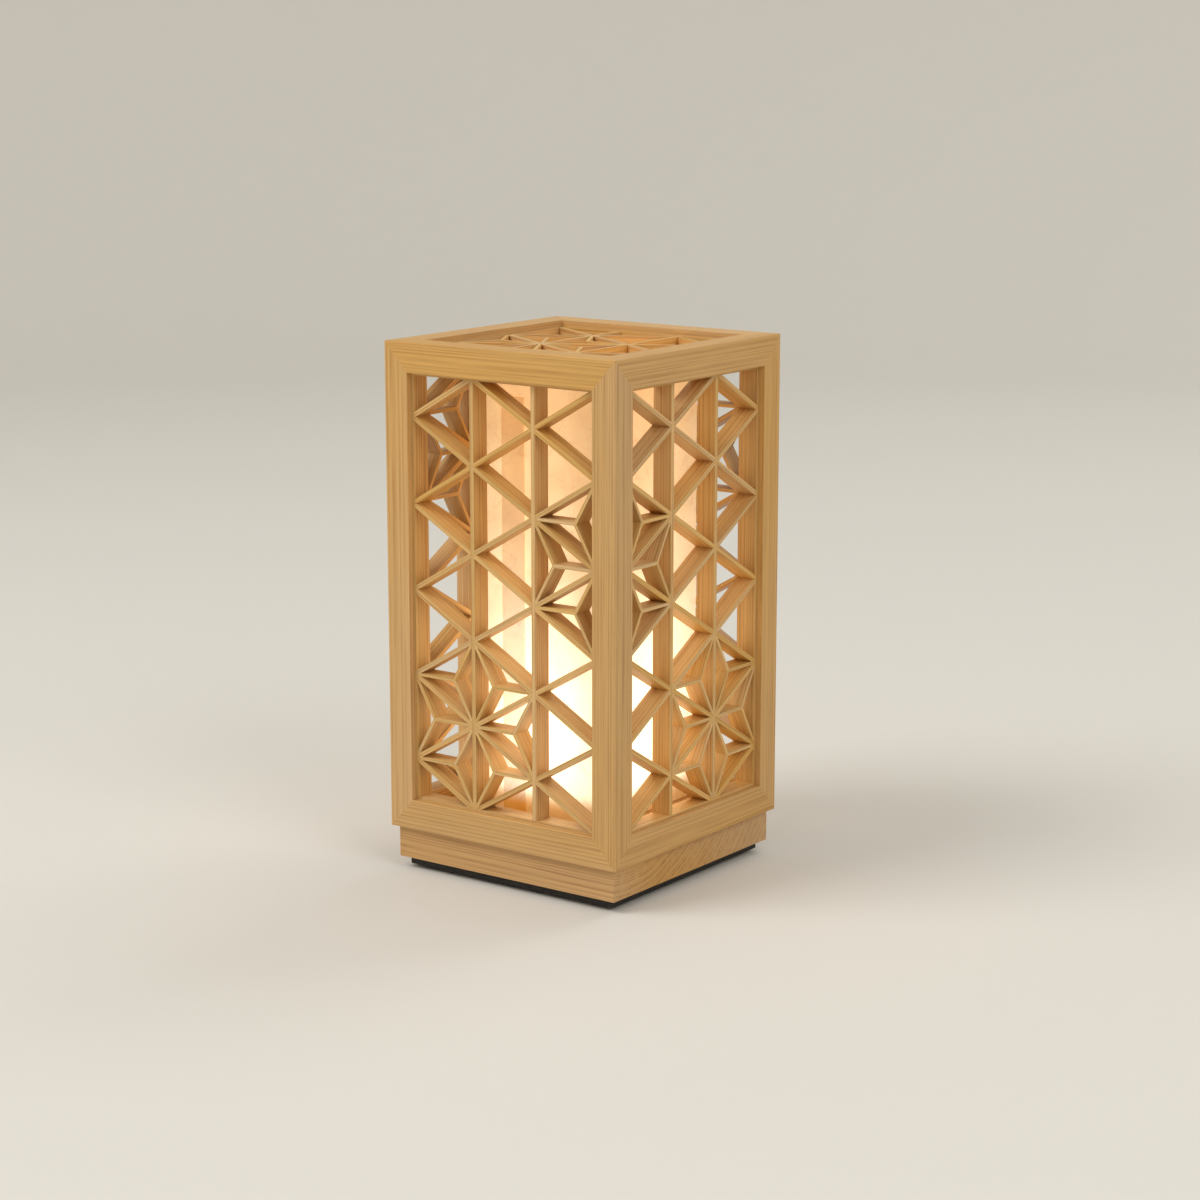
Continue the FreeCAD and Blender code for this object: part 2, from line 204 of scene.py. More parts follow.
def colour(text):
    """Linear colour of an sRGB hex value."""
    parts = [int(text[i:i + 2], 16) / 255 for i in (1, 3, 5)]
    linear = [p / 12.92 if p <= 0.04045 else ((p + 0.055) / 1.055) ** 2.4 for p in parts]
    return (*linear, 1.0)


def feed(tree, node, inputs):
    """Puts a value or a link on each named input of a node."""
    for socket, value in inputs.items():
        if isinstance(value, bpy.types.NodeSocket):
            tree.links.new(value, node.inputs[socket])
        else:
            node.inputs[socket].default_value = value


def add(tree, kind, settings=None, inputs=None):
    """Adds a node with its settings and its inputs."""
    node = tree.nodes.new(kind)
    for name, value in (settings or {}).items():
        setattr(node, name, value)
    feed(tree, node, inputs or {})
    return node


def new_material(name):
    """Empty material with its node tree and its shader."""
    material = bpy.data.materials.new(name)
    material.use_nodes = True
    return material, material.node_tree, material.node_tree.nodes["Principled BSDF"]


# Wood

def streaks(tree, grain, mark, detail):
    """Noise drawn out along the grain, its marks as long and as wide as given."""
    length, width = mark
    per_mark = (1 / length, 1 / width, 1 / width)
    drawn_out = add(tree, "ShaderNodeVectorMath", {"operation": "MULTIPLY"}, {0: grain, 1: per_mark})
    noise = add(tree, "ShaderNodeTexNoise", {},
                {"Vector": drawn_out.outputs[0], "Scale": 1, "Detail": detail})
    return noise.outputs["Fac"]


def growth_lines(tree, grain, ring_width):
    """Late wood, from 0 in a year's pale wood to 1 in the thin line where the year ends."""
    outward = add(tree, "ShaderNodeVectorMath", {"operation": "MULTIPLY"}, {0: grain, 1: (0, 1, 1)})
    radius = add(tree, "ShaderNodeVectorMath", {"operation": "LENGTH"}, {0: outward.outputs[0]})
    count = add(tree, "ShaderNodeMath", {"operation": "DIVIDE"}, {0: radius.outputs["Value"], 1: ring_width})

    # Rings wander by half a ring over a board's length, and some years grew broader than others
    years = add(tree, "ShaderNodeTexNoise", {"noise_dimensions": "1D"},
                {"W": count.outputs[0], "Scale": 1 / years_alike, "Detail": 1})
    wandering = add(tree, "ShaderNodeMath", {"operation": "MULTIPLY_ADD"},
                    {0: streaks(tree, grain, RING_WANDER, 1), 1: wander_rings, 2: count.outputs[0]})
    uneven = add(tree, "ShaderNodeMath", {"operation": "MULTIPLY_ADD"},
                 {0: years.outputs["Fac"], 1: year_rings, 2: wandering.outputs[0]})
    part_of_year = add(tree, "ShaderNodeMath", {"operation": "FRACT"}, {0: uneven.outputs[0]})
    line = add(tree, "ShaderNodeMapRange", {"interpolation_type": "SMOOTHSTEP"},
               {"Value": part_of_year.outputs[0], "From Min": late_start, "From Max": late_full})

    # A line comes and goes along the board
    strength = add(tree, "ShaderNodeMapRange", {},
                   {"Value": streaks(tree, grain, BROKEN_LINE, 2), **NOISE_SPAN,
                    "To Min": 0.15, "To Max": 1.0})
    late = add(tree, "ShaderNodeMath", {"operation": "MULTIPLY"},
               {0: line.outputs[0], 1: strength.outputs[0]})
    return late.outputs[0]


def cypress(name, pale, dark, ring_width):
    """Planed cypress, bare of varnish.

    Fine straight growth lines run along each piece, pale early wood darkens slowly to a thin line of late
    wood, and the fibres give a satin surface. The pieces carry their own grain coordinates: along the
    fibres, and out from the heart of the tree.
    """
    material, tree, shader = new_material(name)
    grain = add(tree, "ShaderNodeAttribute", {"attribute_name": "grain"}).outputs["Vector"]
    tone = add(tree, "ShaderNodeAttribute", {"attribute_name": "board_tone"}).outputs["Fac"]
    late = growth_lines(tree, grain, ring_width)
    wood = add(tree, "ShaderNodeMix", {"data_type": "RGBA"},
               {"Factor": late, COLOUR_A: colour(pale), COLOUR_B: colour(dark)})

    # The fibres are drawn coarser than real ones so that they show
    fibre = streaks(tree, grain, FIBRE_MARK, 3)
    fibre_light = add(tree, "ShaderNodeMapRange", {},
                      {"Value": fibre, **NOISE_SPAN, "To Min": 0.90, "To Max": 1.07})
    board_light = add(tree, "ShaderNodeMath", {"operation": "MULTIPLY_ADD"},
                      {0: tone, 1: tone_spread, 2: 1.0})
    lightness = add(tree, "ShaderNodeMath", {"operation": "MULTIPLY"},
                    {0: fibre_light.outputs[0], 1: board_light.outputs[0]})
    warmth = add(tree, "ShaderNodeMapRange", {},
                 {"Value": streaks(tree, grain, WARM_CLOUD, 1), **NOISE_SPAN, "To Min": 0.93, "To Max": 1.10})
    tinted = add(tree, "ShaderNodeHueSaturation", {},
                 {"Color": wood.outputs[MIXED], "Saturation": warmth.outputs[0],
                  "Value": lightness.outputs[0]})
    satin = add(tree, "ShaderNodeMapRange", {},
                {"Value": fibre, **NOISE_SPAN, "To Min": 0.44, "To Max": 0.60})
    bump = add(tree, "ShaderNodeBump", {}, {"Height": fibre, "Strength": 0.3, "Distance": 0.03 * mm})
    feed(tree, shader, {"Base Color": tinted.outputs[0], "Roughness": satin.outputs[0],
                        "Normal": bump.outputs[0], "IOR": 1.5})
    return material


# Paper

def light_through(tree, place, far_part):
    """Level of the bulb's light in the sheet, and how white that light is, both from 0 to 1."""
    globe_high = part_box("bulb_globe")[1]
    bulb_middle = (0, 0, globe_high.z - globe_high.x)
    wall_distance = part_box("diffuser_tube")[1].x
    away = add(tree, "ShaderNodeVectorMath", {"operation": "DISTANCE"}, {0: place, 1: bulb_middle})
    open_nearness = add(tree, "ShaderNodeMath", {"operation": "DIVIDE"},
                        {0: wall_distance, 1: away.outputs["Value"]})

    # The wooden seat stands behind the foot of the sheet and shades it more and more towards the deck
    seat_low, seat_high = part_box("diffuser_seat")
    height = add(tree, "ShaderNodeSeparateXYZ", {}, {0: place}).outputs["Z"]
    unshaded = add(tree, "ShaderNodeMapRange", {"interpolation_type": "SMOOTHSTEP"},
                   {"Value": height, "From Min": seat_low.z, "From Max": seat_high.z + shade_reach})
    foot = add(tree, "ShaderNodeMapRange", {}, {"Value": unshaded.outputs[0], "To Min": foot_light})

    # Light falls with the square of the distance, down to the part that is scattered all over the tube
    nearness = add(tree, "ShaderNodeMath", {"operation": "MULTIPLY"},
                   {0: open_nearness.outputs[0], 1: unshaded.outputs[0]})
    falloff = add(tree, "ShaderNodeMath", {"operation": "POWER", "use_clamp": True},
                  {0: nearness.outputs[0], 1: 2.0})
    level = add(tree, "ShaderNodeMapRange", {}, {"Value": falloff.outputs[0], "To Min": far_part})
    whiteness = add(tree, "ShaderNodeMapRange", {},
                    {"Value": nearness.outputs[0], "From Min": amber_nearness, "From Max": white_nearness})

    # Towards the folds the light strikes the sheet at a slant, and less of it comes through
    flat_place = add(tree, "ShaderNodeVectorMath", {"operation": "MULTIPLY"}, {0: place, 1: (1, 1, 0)})
    sideways = add(tree, "ShaderNodeVectorMath", {"operation": "LENGTH"}, {0: flat_place.outputs[0]})
    squareness = add(tree, "ShaderNodeMath", {"operation": "DIVIDE"},
                     {0: wall_distance, 1: sideways.outputs["Value"]})
    slant = add(tree, "ShaderNodeMapRange", {},
                {"Value": squareness.outputs[0], "From Min": math.sqrt(0.5), "To Min": fold_light})
    slanted = add(tree, "ShaderNodeMath", {"operation": "MULTIPLY"},
                  {0: level.outputs[0], 1: slant.outputs[0]})
    shaded = add(tree, "ShaderNodeMath", {"operation": "MULTIPLY"},
                 {0: slanted.outputs[0], 1: foot.outputs[0]})
    return shaded.outputs[0], whiteness.outputs[0]


def paper_marks(tree, place):
    """Clearness of the sheet, which its fibres and clouds lower, and the clouds alone."""
    # Fibres are the lines along which a slow noise crosses its middle value, about 0.3 mm broad
    swirl = add(tree, "ShaderNodeTexNoise", {},
                {"Vector": place, "Scale": 1 / paper_swirl, "Detail": 1, "Distortion": 0.8})
    centred = add(tree, "ShaderNodeMath", {"operation": "SUBTRACT"}, {0: swirl.outputs["Fac"], 1: 0.5})
    across = add(tree, "ShaderNodeMath", {"operation": "ABSOLUTE"}, {0: centred.outputs[0]})
    fibre = add(tree, "ShaderNodeMapRange", {"interpolation_type": "SMOOTHSTEP"},
                {"Value": across.outputs[0], "From Max": fibre_band, "To Min": 1.0, "To Max": 0.0})
    cloud = add(tree, "ShaderNodeTexNoise", {},
                {"Vector": place, "Scale": 1 / paper_cloud, "Detail": 5, "Roughness": 0.6})
    thinness = add(tree, "ShaderNodeMapRange", {},
                   {"Value": cloud.outputs["Fac"], **NOISE_SPAN, "To Min": 0.90, "To Max": 1.0})
    clear = add(tree, "ShaderNodeMath", {"operation": "MULTIPLY_ADD"},
                {0: fibre.outputs[0], 1: -fibre_shade, 2: thinness.outputs[0]})
    return clear.outputs[0], cloud.outputs["Fac"]


def washi(name, sheet, far_glow, near_glow, strength, far_part):
    """Laminated mulberry paper, with the bulb's light through it painted on as a glow.

    Long fibres and a cloudy sheet show against the light, which is near white beside the bulb and deepens
    to amber farther up.
    """
    material, tree, shader = new_material(name)
    place = add(tree, "ShaderNodeTexCoord").outputs["Object"]
    level, whiteness = light_through(tree, place, far_part)
    clear, cloud = paper_marks(tree, place)
    light = add(tree, "ShaderNodeMath", {"operation": "MULTIPLY"}, {0: level, 1: clear})
    glow = add(tree, "ShaderNodeMix", {"data_type": "RGBA"},
               {"Factor": whiteness, COLOUR_A: colour(far_glow), COLOUR_B: colour(near_glow)})
    lit = add(tree, "ShaderNodeVectorMath", {"operation": "SCALE"},
              {0: glow.outputs[MIXED], "Scale": light.outputs[0]})
    face = add(tree, "ShaderNodeHueSaturation", {}, {"Color": colour(sheet), "Value": clear})
    bump = add(tree, "ShaderNodeBump", {}, {"Height": cloud, "Strength": 0.4, "Distance": 0.08 * mm})
    feed(tree, shader, {"Base Color": face.outputs[0], "Emission Color": lit.outputs[0],
                        "Normal": bump.outputs[0], "Emission Strength": strength, "Roughness": 0.85,
                        "Specular IOR Level": 0.25})
    return material


# Plastics, board and metals

def opal_polycarbonate():
    """Moulded opal diffuser of the bulb, glowing evenly with a faint darker foot."""
    material, tree, shader = new_material("opal_polycarbonate")
    place = add(tree, "ShaderNodeTexCoord").outputs["Object"]
    height = add(tree, "ShaderNodeSeparateXYZ", {}, {0: place}).outputs["Z"]
    low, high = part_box("bulb_globe")
    rise = add(tree, "ShaderNodeMapRange", {"interpolation_type": "SMOOTHSTEP"},
               {"Value": height, "From Min": low.z, "From Max": (low.z + high.z) / 2})
    glow = add(tree, "ShaderNodeMix", {"data_type": "RGBA"},
               {"Factor": rise.outputs[0], COLOUR_A: colour("#EBC48A"), COLOUR_B: colour("#FFEBC8")})
    feed(tree, shader, {"Emission Color": glow.outputs[MIXED], "Emission Strength": 2.2,
                        "Base Color": colour("#F4F0E6"), "Roughness": 0.35, "IOR": 1.58})
    return material


def moulded(name, tone, roughness, grit_size):
    """Moulded plastic or rubber: one colour with a fine spark-eroded texture from the mould.

    The grit is drawn coarser than the real one so that it shows.
    """
    material, tree, shader = new_material(name)
    place = add(tree, "ShaderNodeTexCoord").outputs["Object"]
    grit = add(tree, "ShaderNodeTexNoise", {}, {"Vector": place, "Scale": 1 / grit_size, "Detail": 2})
    shade = add(tree, "ShaderNodeMapRange", {},
                {"Value": grit.outputs["Fac"], **NOISE_SPAN, "To Min": 0.92, "To Max": 1.06})
    face = add(tree, "ShaderNodeHueSaturation", {}, {"Color": colour(tone), "Value": shade.outputs[0]})
    gloss = add(tree, "ShaderNodeMapRange", {},
                {"Value": grit.outputs["Fac"], **NOISE_SPAN,
                 "To Min": roughness - 0.06, "To Max": roughness + 0.06})
    bump = add(tree, "ShaderNodeBump", {},
               {"Height": grit.outputs["Fac"], "Strength": 0.3, "Distance": 0.03 * mm})
    feed(tree, shader, {"Base Color": face.outputs[0], "Roughness": gloss.outputs[0],
                        "Normal": bump.outputs[0]})
    return material


def shaded_gap_board(name, dark, light, mottle_size):
    """Near-black fibreboard with a faint mottle on pressed fibre; its black also paints the shade of the gap
    under the plinth.
    """
    material, tree, shader = new_material(name)
    place = add(tree, "ShaderNodeTexCoord").outputs["Object"]
    mottle = add(tree, "ShaderNodeTexNoise", {}, {"Vector": place, "Scale": 1 / mottle_size, "Detail": 4})
    face = add(tree, "ShaderNodeMix", {"data_type": "RGBA"},
               {"Factor": mottle.outputs["Fac"], COLOUR_A: colour(dark), COLOUR_B: colour(light)})
    dull = add(tree, "ShaderNodeMapRange", {},
               {"Value": mottle.outputs["Fac"], **NOISE_SPAN, "To Min": 0.55, "To Max": 0.75})
    bump = add(tree, "ShaderNodeBump", {},
               {"Height": mottle.outputs["Fac"], "Strength": 0.3, "Distance": 0.05 * mm})
    feed(tree, shader, {"Base Color": face.outputs[MIXED], "Roughness": dull.outputs[0],
                        "Normal": bump.outputs[0]})
    return material


def plated(name, bright, dim, roughness, mark_size):
    """Pressed and plated metal: bright, with soft cloudy marks from handling."""
    material, tree, shader = new_material(name)
    place = add(tree, "ShaderNodeTexCoord").outputs["Object"]
    marks = add(tree, "ShaderNodeTexNoise", {}, {"Vector": place, "Scale": 1 / mark_size, "Detail": 4})
    face = add(tree, "ShaderNodeMix", {"data_type": "RGBA"},
               {"Factor": marks.outputs["Fac"], COLOUR_A: colour(dim), COLOUR_B: colour(bright)})
    gloss = add(tree, "ShaderNodeMapRange", {},
                {"Value": marks.outputs["Fac"], **NOISE_SPAN, "To Min": roughness + 0.1, "To Max": roughness})
    feed(tree, shader, {"Base Color": face.outputs[MIXED], "Roughness": gloss.outputs[0], "Metallic": 1.0})
    return material


# Materials of the lamp

frame_wood = cypress("planed_cypress_frame", "#CAA065", "#B0824A", ring_width=1.4 * mm)
lattice_wood = cypress("planed_cypress_strips", "#D2AA6C", "#B28348", ring_width=1.1 * mm)
leaf_wood = cypress("planed_cypress_leaves", "#D5AF72", "#B6894D", ring_width=1.0 * mm)
plinth_wood = cypress("planed_cypress_plinth", "#C29862", "#A27544", ring_width=1.9 * mm)
# The bulb's light through the paper is painted as a glow. The doubled seam's dimmer, deeper glow and darker
# face are painted shade
tube_paper = washi("mulberry_paper", "#D9CDB2", "#FFB35C", "#FFE4BC", strength=2.8, far_part=0.22)
seam_paper = washi("mulberry_paper_doubled", "#CDB67C", "#F09024", "#FFE6C6", strength=1.45, far_part=0.41)
opal = opal_polycarbonate()
white_plastic = moulded("moulded_white_plastic", "#E6E3DB", roughness=0.35, grit_size=0.5 * mm)
black_nylon = moulded("moulded_black_nylon", "#1B1B1C", roughness=0.5, grit_size=0.4 * mm)
black_phenolic = moulded("moulded_black_phenolic", "#211C19", roughness=0.4, grit_size=0.4 * mm)
black_insulator = moulded("vitreous_cap_insulator", "#17171A", roughness=0.2, grit_size=0.6 * mm)
pale_nylon = moulded("moulded_natural_nylon", "#DAD7CB", roughness=0.45, grit_size=0.5 * mm)
silicone = moulded("silicone_lead", "#D2CCBE", roughness=0.55, grit_size=0.5 * mm)
rubber = moulded("foot_rubber", "#191919", roughness=0.75, grit_size=0.6 * mm)
black_board = shaded_gap_board("black_board_and_gap_shade", "#191511", "#201B17", mottle_size=1.7 * mm)
nickel = plated("nickel_plated_brass", "#D6D3CC", "#B4AFA6", roughness=0.22, mark_size=3.3 * mm)
brass = plated("pressed_brass", "#D8B566", "#B48C46", roughness=0.28, mark_size=3.3 * mm)
zinc = plated("zinc_plated_steel", "#C6C8C8", "#9A9C9E", roughness=0.3, mark_size=3.3 * mm)


# Mesh helpers

def piece(name, mesh, material, body, node):
    """Puts a finished mesh in the scene on its body, in place of its CAD node.

    A mesh from a node tree brings its material along.
    """
    thing = bpy.data.objects.new(name, mesh)
    bpy.context.scene.collection.objects.link(thing)
    if not mesh.materials:
        mesh.materials.append(material)
    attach(thing, body)
    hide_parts(node)


def dress(material, *nodes):
    """Gives a finished material to CAD nodes that keep their own mesh."""
    for node in nodes:
        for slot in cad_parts[node].material_slots:
            slot.material = material


def finished(mesh, name):
    """Plain mesh data of a bmesh, which is freed."""
    data = bpy.data.meshes.new(name)
    mesh.to_mesh(data)
    mesh.free()
    return data


def smoothed(mesh, name):
    """Plain mesh data of a bmesh, smooth apart from its sharp edges."""
    data = finished(mesh, name)
    data.shade_smooth()
    data.set_sharp_from_angle(angle=math.radians(crease_deg))
    return data


def merged_copy(node):
    """A CAD node's triangles, joined into whole flat faces in a new mesh."""
    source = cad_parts[node].data
    mesh = bmesh.new()
    corners = [mesh.verts.new(vertex.co) for vertex in source.vertices]
    for polygon in source.polygons:
        mesh.faces.new([corners[i] for i in polygon.vertices])
    bmesh.ops.remove_doubles(mesh, verts=mesh.verts, dist=weld)
    bmesh.ops.dissolve_limit(mesh, angle_limit=math.radians(flat_deg), verts=mesh.verts, edges=mesh.edges)
    return mesh


def boards_of(mesh):
    """The separate boards of a mesh, each as its vertices."""
    left = set(mesh.verts)
    while left:
        found = set()
        waiting = [next(vert for vert in mesh.verts if vert in left)]
        while waiting:
            vert = waiting.pop()
            if vert in found:
                continue
            found.add(vert)
            waiting += [edge.other_vert(vert) for edge in vert.link_edges]
        left -= found
        yield [vert for vert in mesh.verts if vert in found]


def lay_grain(mesh, along, across):
    """Gives each board its own grain: a place in the tree, its fibres along one direction, and a tone."""
    grain = mesh.verts.layers.float_vector.new("grain")
    tone = mesh.verts.layers.float.new("board_tone")
    depth = along.cross(across)
    for board_verts in boards_of(mesh):
        middle = sum((vert.co for vert in board_verts), Vector()) / len(board_verts)
        reach = draw.uniform(heart_nearest, heart_farthest)
        side = math.radians(draw.choice(DIAGONALS_DEG) + draw.uniform(-rift_deg, rift_deg))
        along_trunk = draw.uniform(-trunk_half, trunk_half)
        heart = Vector((along_trunk, reach * math.cos(side), reach * math.sin(side)))
        light = draw.uniform(-1, 1)
        for vert in board_verts:
            place = vert.co - middle
            vert[grain] = Vector((along.dot(place), across.dot(place), depth.dot(place))) + heart
            vert[tone] = light


def ease(mesh, edges):
    """Takes the sharpness off some edges, as two strokes of a plane do."""
    bmesh.ops.bevel(mesh, geom=edges, offset=edge_ease, segments=2, profile=0.5, affect="EDGES")


def rings(mesh, profile, sides, middle=Vector()):
    """Adds a piece of revolution from radius and height points, closed where the radius is 0."""
    loops = []
    for radius, height in profile:
        count = sides if radius > 0 else 1
        turns = [2 * math.pi * i / count for i in range(count)]
        loops.append([mesh.verts.new(middle + Vector((radius * math.cos(t), radius * math.sin(t), height)))
                      for t in turns])
    for lower, upper in zip(loops, loops[1:]):
        for i in range(sides):
            corners = [lower[i % len(lower)], lower[(i + 1) % len(lower)],
                       upper[(i + 1) % len(upper)], upper[i % len(upper)]]
            mesh.faces.new(list(dict.fromkeys(corners)))


def turned(name, profile, material, body, node):
    """Smooth piece of revolution that replaces a CAD node."""
    mesh = bmesh.new()
    rings(mesh, profile, round_sides)
    bmesh.ops.recalc_face_normals(mesh, faces=mesh.faces)
    piece(name, smoothed(mesh, name), material, body, node)


def made_by(tree, base, values):
    """Plain mesh that a node tree makes on a base mesh, with its inputs set by name."""
    maker = bpy.data.objects.new("maker", base)
    bpy.context.scene.collection.objects.link(maker)
    modifier = maker.modifiers.new("maker", "NODES")
    modifier.node_group = tree
    for socket in tree.interface.items_tree:
        if socket.name in values:
            modifier[socket.identifier] = values[socket.name]
    evaluated = maker.evaluated_get(bpy.context.evaluated_depsgraph_get())
    mesh = bpy.data.meshes.new_from_object(evaluated)
    maker.modifiers.remove(modifier)
    bpy.data.objects.remove(maker)
    return mesh


# Lantern frame

def frame_member(node):
    """Post or rail with eased long edges and tight mitres."""
    low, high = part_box(node)
    size = high - low
    axis = max(range(3), key=lambda i: size[i])
    along, across = (X, Y, Z)[axis], (Y, Z, X)[axis]
    mesh = merged_copy(node)
    long_edges = [edge for edge in mesh.edges
                  if abs((edge.verts[1].co - edge.verts[0].co).normalized().dot(along)) > parallel]
    ease(mesh, long_edges)
    lay_grain(mesh, along, across)
    piece("frame_" + node, finished(mesh, node), frame_wood, "lantern", node)


# Kumiko panels

def panel_opening(panel):
    """Middle of the opening that a panel fills, and half its width, height and depth."""
    low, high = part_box(f"{panel}_panel_border")
    half = (high - low) / 2
    return (low + high) / 2, *(abs(half.dot(direction)) for direction in PANELS[panel])


def strip_row(panel, kind, lean_deg):
    """All strips of one direction in a panel, with the grain along them."""
    right, up, outward = PANELS[panel]
    lean = math.radians(lean_deg)
    along = math.cos(lean) * right + math.sin(lean) * up
    node = f"{panel}_panel_{kind}"
    mesh = merged_copy(node)
    lay_grain(mesh, along, outward.cross(along))
    piece(f"kumiko_{panel}_{kind}", finished(mesh, node), lattice_wood, "lantern", node)


def border(panel):
    """Four thin strips, mitred at the corners, that line a panel's opening."""
    right, up, outward = PANELS[panel]
    node = f"{panel}_panel_border"
    middle, half_width, half_height, half_depth = panel_opening(panel)

    def corners(inset):
        return [middle + x * (half_width - inset) * right + y * (half_height - inset) * up
                for x, y in ((-1, -1), (1, -1), (1, 1), (-1, 1))]

    outer, inner = corners(0), corners(border_thickness)
    depth = outward * half_depth
    whole = bmesh.new()
    for i in range(4):
        outline = [outer[i - 1], outer[i], inner[i], inner[i - 1]]
        bar = bmesh.new()
        back = [bar.verts.new(corner - depth) for corner in outline]
        face = [bar.verts.new(corner + depth) for corner in outline]
        bar.faces.new(back[::-1])
        bar.faces.new(face)
        for j in range(4):
            bar.faces.new([back[j - 1], back[j], face[j], face[j - 1]])
        bmesh.ops.recalc_face_normals(bar, faces=bar.faces)
        lay_grain(bar, (outer[i] - outer[i - 1]).normalized(), outward)
        whole.from_mesh(finished(bar, node))
    piece(f"kumiko_{panel}_border", finished(whole, node), lattice_wood, "lantern", node)


def leaf_shape(tree, given):
    """One leaf strip in a node tree: its heel at the origin, its tip along X and its face up."""
    # A bar with a ridge of vertices down the middle of both ends
    size = add(tree, "ShaderNodeCombineXYZ", {},
               {0: given["Length"], 1: given["Thickness"], 2: given["Depth"]})
    bar = add(tree, "GeometryNodeMeshCube", {},
              {"Size": size.outputs[0], "Vertices X": 2, "Vertices Y": 3, "Vertices Z": 2})
    half = add(tree, "ShaderNodeVectorMath", {"operation": "MULTIPLY"},
               {0: size.outputs[0], 1: (0.5, 0, -0.5)})
    seated = add(tree, "GeometryNodeSetPosition", {},
                 {"Geometry": bar.outputs["Mesh"], "Offset": half.outputs[0]})

    # The heel is cut to a point to meet two others, and the tip to fill the strips' corner
    place = add(tree, "ShaderNodeSeparateXYZ", {}, {0: add(tree, "GeometryNodeInputPosition").outputs[0]})
    middle = add(tree, "ShaderNodeMath", {"operation": "MULTIPLY"}, {0: given["Length"], 1: 0.5})
    is_tip = add(tree, "ShaderNodeMath", {"operation": "GREATER_THAN"},
                 {0: place.outputs["X"], 1: middle.outputs[0]})
    slope = add(tree, "ShaderNodeMapRange", {},
                {"Value": is_tip.outputs[0], "To Min": 1 / math.tan(math.radians(leaf_heel_deg / 2)),
                 "To Max": -1 / math.tan(math.radians(leaf_tip_deg / 2))})
    aside = add(tree, "ShaderNodeMath", {"operation": "ABSOLUTE"}, {0: place.outputs["Y"]})
    cut = add(tree, "ShaderNodeMath", {"operation": "MULTIPLY"}, {0: aside.outputs[0], 1: slope.outputs[0]})
    shift = add(tree, "ShaderNodeCombineXYZ", {}, {0: cut.outputs[0]})
    pointed = add(tree, "GeometryNodeSetPosition", {},
                  {"Geometry": seated.outputs[0], "Offset": shift.outputs[0]})
    return pointed.outputs[0]


def leaf_tree():
    """Node tree that sets one pointed leaf strip on every vertex, turned as the vertex says."""
    tree = bpy.data.node_groups.new("hemp_leaves", "GeometryNodeTree")
    tree.interface.new_socket("Places", in_out="INPUT", socket_type="NodeSocketGeometry")
    for name in ("Length", "Thickness", "Depth"):
        tree.interface.new_socket(name, in_out="INPUT", socket_type="NodeSocketFloat")
    tree.interface.new_socket("Leaves", in_out="OUTPUT", socket_type="NodeSocketGeometry")
    given = add(tree, "NodeGroupInput").outputs
    on_points = {"data_type": "FLOAT_VECTOR", "domain": "POINT"}

    # Grain runs along each leaf, and each comes from another place in the tree
    local = add(tree, "GeometryNodeStoreNamedAttribute", on_points,
                {"Geometry": leaf_shape(tree, given), "Name": "grain",
                 "Value": add(tree, "GeometryNodeInputPosition").outputs[0]})
    turn = add(tree, "GeometryNodeInputNamedAttribute", {"data_type": "FLOAT_VECTOR"}, {"Name": "turn"})
    facing = add(tree, "FunctionNodeEulerToRotation", {}, {0: turn.outputs[0]})
    leaves = add(tree, "GeometryNodeInstanceOnPoints", {},
                 {"Points": given["Places"], "Instance": local.outputs[0], "Rotation": facing.outputs[0]})
    heart = add(tree, "FunctionNodeRandomValue", {"data_type": "FLOAT_VECTOR"},
                {0: (-trunk_half, heart_nearest, heart_nearest),
                 1: (trunk_half, heart_farthest, heart_farthest), "Seed": heart_seed})
    from_tree = add(tree, "GeometryNodeStoreNamedAttribute",
                    {"data_type": "FLOAT_VECTOR", "domain": "INSTANCE"},
                    {"Geometry": leaves.outputs[0], "Name": "heart", "Value": heart.outputs[0]})
    light = add(tree, "FunctionNodeRandomValue", {"data_type": "FLOAT"}, {2: -1.0, 3: 1.0, "Seed": tone_seed})
    toned = add(tree, "GeometryNodeStoreNamedAttribute", {"data_type": "FLOAT", "domain": "INSTANCE"},
                {"Geometry": from_tree.outputs[0], "Name": "board_tone", "Value": light.outputs[1]})
    real = add(tree, "GeometryNodeRealizeInstances", {}, {0: toned.outputs[0]})
    own = add(tree, "GeometryNodeInputNamedAttribute", {"data_type": "FLOAT_VECTOR"}, {"Name": "grain"})
    offset = add(tree, "GeometryNodeInputNamedAttribute", {"data_type": "FLOAT_VECTOR"}, {"Name": "heart"})
    total = add(tree, "ShaderNodeVectorMath", {"operation": "ADD"}, {0: own.outputs[0], 1: offset.outputs[0]})
    grained = add(tree, "GeometryNodeStoreNamedAttribute", on_points,
                  {"Geometry": real.outputs[0], "Name": "grain", "Value": total.outputs[0]})
    done = add(tree, "GeometryNodeSetMaterial", {}, {"Geometry": grained.outputs[0], "Material": leaf_wood})
    add(tree, "NodeGroupOutput", {}, {0: done.outputs[0]})
    return tree


